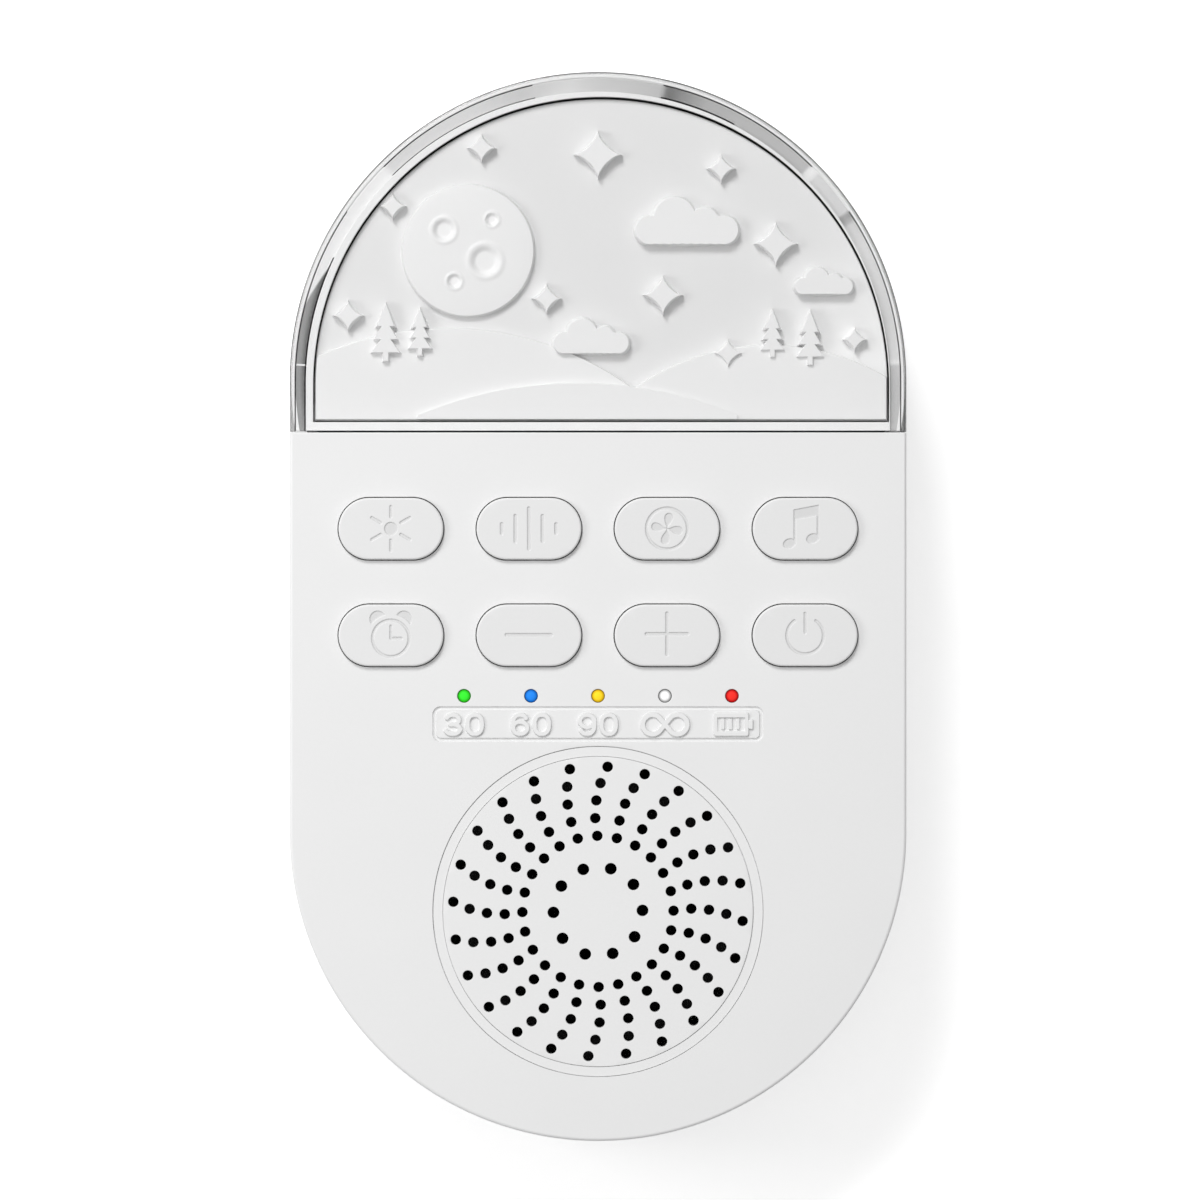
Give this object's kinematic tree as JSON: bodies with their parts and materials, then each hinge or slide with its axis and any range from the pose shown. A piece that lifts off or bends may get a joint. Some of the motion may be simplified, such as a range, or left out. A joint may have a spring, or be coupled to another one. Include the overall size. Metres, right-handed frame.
{
  "type": "white noise sound machine",
  "caption": "Hand-sized white noise machine: stadium body with oval push buttons, indicator lamps, speaker grille and a clear cover over a relief night light.",
  "frame": {"origin": "middle of the flat rear face, on which the machine lies", "axes": "+Z out of the front face, +Y towards the clear cover, +X to the right seen from the front"},
  "size_m": [0.09, 0.156, 0.0289],
  "materials": {
    "shell_white": "fine matt moulded ABS",
    "relief_white": "satin white moulded plastic",
    "clear_plastic": "clear polished plastic",
    "cap_white": "fine matt moulded ABS",
    "black_plastic": "black moulded plastic",
    "circuit_board": "green solder mask",
    "white_board": "white solder mask",
    "foil_silver": "silver foil",
    "lamp_green": "tinted clear resin",
    "lamp_blue": "tinted clear resin",
    "lamp_amber": "tinted clear resin",
    "lamp_clear": "milky clear resin",
    "lamp_red": "tinted clear resin",
    "plated_steel": "zinc plated",
    "ferrite": "sintered ferrite",
    "copper": "enamelled copper wire",
    "spider_cloth": "treated cloth",
    "cone_paper": "pressed paper",
    "black_rubber": "foam and rubber",
    "terminal_strip": "tinned strip",
    "cream_plastic": "nylon and adhesive foam",
    "diode_yellow": "phosphor in white frame",
    "wire_jacket": "PVC jacket"
  },
  "bodies": {
    "housing": {"front_housing": "shell_white", "rear_housing": "shell_white", "clear_cover": "clear_plastic", "plate_frame": "shell_white", "relief_plate": "relief_white", "switch_bodies": "black_plastic", "main_board": "circuit_board", "circuit_chips": "black_plastic", "capacitors": "foil_silver", "green_lamp": "lamp_green", "blue_lamp": "lamp_blue", "amber_lamp": "lamp_amber", "clear_lamp": "lamp_clear", "red_lamp": "lamp_red", "lamp_leads": "plated_steel", "lamp_spacer": "black_plastic", "charging_socket": "plated_steel", "socket_tongue": "black_plastic", "speaker_basket": "plated_steel", "speaker_magnet": "ferrite", "speaker_yoke": "plated_steel", "speaker_top_plate": "plated_steel", "voice_coil": "copper", "speaker_spider": "spider_cloth", "speaker_cone": "cone_paper", "speaker_surround": "black_rubber", "speaker_dust_cap": "cone_paper", "speaker_gasket": "black_rubber", "speaker_terminals": "terminal_strip", "battery_cell": "foil_silver", "battery_pad": "cream_plastic", "battery_socket": "cream_plastic", "battery_plug": "cream_plastic", "night_light_board": "white_board", "night_light_diodes": "diode_yellow", "housing_screws": "plated_steel", "board_screws": "plated_steel", "speaker_screws": "plated_steel", "night_light_screws": "plated_steel", "speaker_wires": "wire_jacket", "battery_wires": "wire_jacket", "night_light_wires": "wire_jacket"},
    "light_key": {"light_button": "cap_white", "light_plunger": "black_plastic"},
    "sound_key": {"sound_button": "cap_white", "sound_plunger": "black_plastic"},
    "fan_key": {"fan_button": "cap_white", "fan_plunger": "black_plastic"},
    "music_key": {"music_button": "cap_white", "music_plunger": "black_plastic"},
    "timer_key": {"timer_button": "cap_white", "timer_plunger": "black_plastic"},
    "minus_key": {"minus_button": "cap_white", "minus_plunger": "black_plastic"},
    "plus_key": {"plus_button": "cap_white", "plus_plunger": "black_plastic"},
    "power_key": {"power_button": "cap_white", "power_plunger": "black_plastic"}
  },
  "joints": [
    {"name": "light_press", "type": "slide", "parent": "housing", "child": "light_key", "axis": [0, 0, -1], "range_m": [0, 0.0003], "stiffness_N_per_m": 2500, "springref_m": -0.00025},
    {"name": "sound_press", "type": "slide", "parent": "housing", "child": "sound_key", "axis": [0, 0, -1], "range_m": [0, 0.0003], "stiffness_N_per_m": 2500, "springref_m": -0.00025},
    {"name": "fan_press", "type": "slide", "parent": "housing", "child": "fan_key", "axis": [0, 0, -1], "range_m": [0, 0.0003], "stiffness_N_per_m": 2500, "springref_m": -0.00025},
    {"name": "music_press", "type": "slide", "parent": "housing", "child": "music_key", "axis": [0, 0, -1], "range_m": [0, 0.0003], "stiffness_N_per_m": 2500, "springref_m": -0.00025},
    {"name": "timer_press", "type": "slide", "parent": "housing", "child": "timer_key", "axis": [0, 0, -1], "range_m": [0, 0.0003], "stiffness_N_per_m": 2500, "springref_m": -0.00025},
    {"name": "minus_press", "type": "slide", "parent": "housing", "child": "minus_key", "axis": [0, 0, -1], "range_m": [0, 0.0003], "stiffness_N_per_m": 2500, "springref_m": -0.00025},
    {"name": "plus_press", "type": "slide", "parent": "housing", "child": "plus_key", "axis": [0, 0, -1], "range_m": [0, 0.0003], "stiffness_N_per_m": 2500, "springref_m": -0.00025},
    {"name": "power_press", "type": "slide", "parent": "housing", "child": "power_key", "axis": [0, 0, -1], "range_m": [0, 0.0003], "stiffness_N_per_m": 2500, "springref_m": -0.00025}
  ]
}
